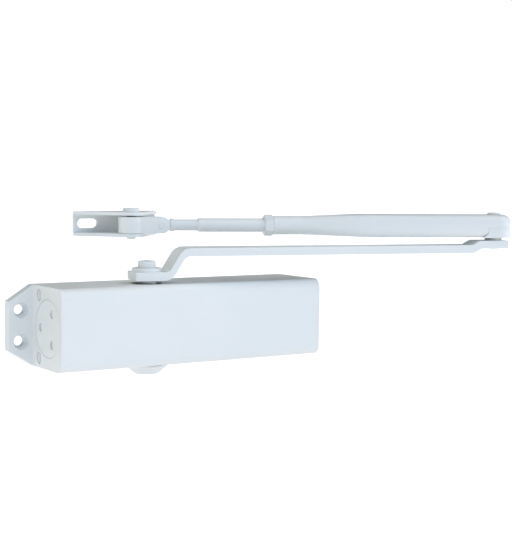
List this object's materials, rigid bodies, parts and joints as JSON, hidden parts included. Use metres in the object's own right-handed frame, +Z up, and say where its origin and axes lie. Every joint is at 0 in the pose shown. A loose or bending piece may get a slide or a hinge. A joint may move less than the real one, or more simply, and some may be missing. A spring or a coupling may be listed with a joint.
{
  "type": "overhead door closer",
  "caption": "White overhead door closer: rack-and-pinion body with mounting ears, cranked main arm, adjustable forearm with jam nut, swivel fork and slotted shoe bracket.",
  "frame": {"origin": "centre of the four fixing holes, on the back mounting plane of the closer body", "axes": "+X along the closer body from the end with the valve screws to the other end, +Y into the door or frame the body is screwed to, +Z up towards the arms"},
  "size_m": [0.3795, 0.1382, 0.1165],
  "materials": {
    "white_paint": "smooth satin powder coat on die-cast aluminium",
    "white_paint_arm": "smooth satin powder coat on steel",
    "seal_rubber": "moulded nitrile, oiled",
    "hard_steel": "ground and hardened",
    "spring_steel": "drawn wire, oiled",
    "piston_iron": "turned, oiled",
    "ring_plastic": "filled PTFE",
    "brass_insert": "turned",
    "dark_plastic": "acetal bearing grade"
  },
  "bodies": {
    "closer_body": {"body_casting": "white_paint", "end_plug_left": "white_paint", "end_plug_right": "white_paint", "plug_seal_left": "seal_rubber", "plug_seal_right": "seal_rubber", "bottom_cap": "white_paint", "cap_seal": "seal_rubber", "bearing_upper": "hard_steel", "bearing_lower": "hard_steel", "shaft_seal": "seal_rubber", "spring_seat": "hard_steel", "spring_outer": "spring_steel", "spring_inner": "spring_steel"},
    "spindle_arm": {"pinion_shaft": "hard_steel", "main_arm": "white_paint_arm", "arm_washer": "white_paint_arm", "arm_screw": "white_paint_arm", "elbow_washer": "dark_plastic", "elbow_pin": "white_paint_arm"},
    "piston_set": {"piston": "piston_iron", "piston_ring": "ring_plastic", "check_ball": "hard_steel", "check_plug": "brass_insert"},
    "valve_upper": {"valve_screw_upper": "white_paint", "valve_seal_upper": "seal_rubber"},
    "valve_lower": {"valve_screw_lower": "white_paint", "valve_seal_lower": "seal_rubber"},
    "forearm": {"forearm_shell": "white_paint_arm", "elbow_hub": "white_paint_arm", "elbow_bush": "dark_plastic", "jam_nut": "white_paint_arm"},
    "rod": {"adjusting_rod": "white_paint_arm"},
    "swivel": {"swivel_fork": "white_paint_arm", "tilt_pin": "white_paint_arm"},
    "shoe": {"shoe_bracket": "white_paint_arm", "shoe_pin": "white_paint_arm"}
  },
  "joints": [
    {"name": "arm_swing", "type": "hinge", "parent": "closer_body", "child": "spindle_arm", "pos_m": [-0.02985, -0.032, 0], "axis": [0, 0, -1], "range_deg": [0, 180], "stiffness_Nm_per_rad": 1.9, "springref_deg": -171.89},
    {"name": "piston_slide", "type": "slide", "parent": "closer_body", "child": "piston_set", "axis": [1, 0, 0], "range_m": [0, 0.026], "deforming": ["spring_outer", "spring_inner"]},
    {"name": "elbow", "type": "hinge", "parent": "spindle_arm", "child": "forearm", "pos_m": [0.24247, -0.09507, 0.0685], "axis": [0, 0, 1], "continuous": true},
    {"name": "rod_adjust", "type": "slide", "parent": "forearm", "child": "rod", "axis": [-0.9397, 0.342, 0], "range_m": [-0.03, 0.03]},
    {"name": "shoe_tilt", "type": "hinge", "parent": "rod", "child": "swivel", "pos_m": [-0.00382, -0.00543, 0.0685], "axis": [-0.342, -0.9397, 0], "range_deg": [-20, 20]},
    {"name": "shoe_swivel", "type": "hinge", "parent": "swivel", "child": "shoe", "pos_m": [-0.02445, 0.00208, 0.0685], "axis": [0, 0, 1], "range_deg": [-15, 155]},
    {"name": "valve_upper_turn", "type": "hinge", "parent": "closer_body", "child": "valve_upper", "pos_m": [-0.106, -0.0177, 0.0217], "axis": [-1, 0, 0], "range_deg": [-180, 180]},
    {"name": "valve_lower_turn", "type": "hinge", "parent": "closer_body", "child": "valve_lower", "pos_m": [-0.106, -0.0177, -0.0217], "axis": [-1, 0, 0], "range_deg": [-180, 180]}
  ],
  "couplings": [
    {"joint": "piston_slide", "follows": "arm_swing", "m_per_rad": 0.00825}
  ]
}
